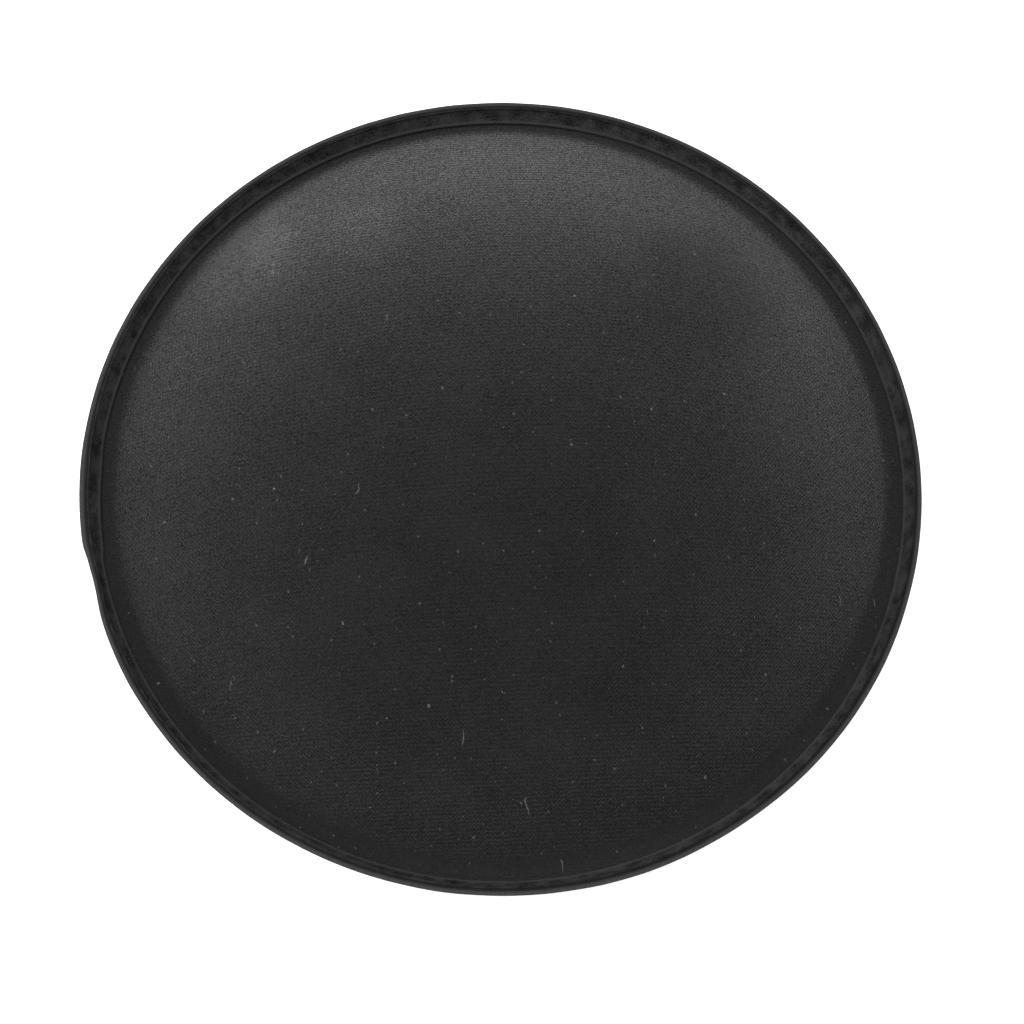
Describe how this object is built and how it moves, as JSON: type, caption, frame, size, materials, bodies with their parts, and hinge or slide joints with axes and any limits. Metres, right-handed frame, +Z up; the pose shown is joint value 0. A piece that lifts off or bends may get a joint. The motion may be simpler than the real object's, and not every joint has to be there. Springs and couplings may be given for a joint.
{
  "type": "practice pad",
  "caption": "Round drum practice pad: softly domed, padded playing face in black knit, a narrow valley round its foot and a raised, tape-bound rim.",
  "frame": {"origin": "middle of the flat underside, where the pad rests", "axes": "+Z up through the crown, which is the pad's axis of symmetry; the lapped end of the edge tape is on the -X side"},
  "size_m": [0.1527, 0.1524, 0.0287],
  "materials": {
    "grip_rubber": "matt black natural rubber sheet, moulded with a fine diamond grain",
    "backing_weave": "black plain-woven polyester, matt",
    "board": "medium-density fibreboard, sanded, raw",
    "gum_rubber": "natural gum rubber, smooth, slightly waxy",
    "moulded_foam": "dark closed-cell EVA foam, moulded skin",
    "sponge": "charcoal open-cell polyurethane foam",
    "face_knit": "black weft-knitted polyester jersey, slight sheen at grazing angles",
    "cotton_cord": "undyed twisted cotton filler cord",
    "edge_tape": "black knitted binding tape with a short fuzzy nap",
    "thread": "black polyester sewing thread"
  },
  "bodies": {
    "root": {"grip_sheet": "grip_rubber", "backing_cloth": "backing_weave", "base_board": "board", "rebound_sheet": "gum_rubber", "foam_crown": "moulded_foam", "top_sponge": "sponge", "face_cloth": "face_knit", "edge_cord": "cotton_cord", "edge_binding": "edge_tape", "binding_stitches": "thread"}
  },
  "joints": []
}
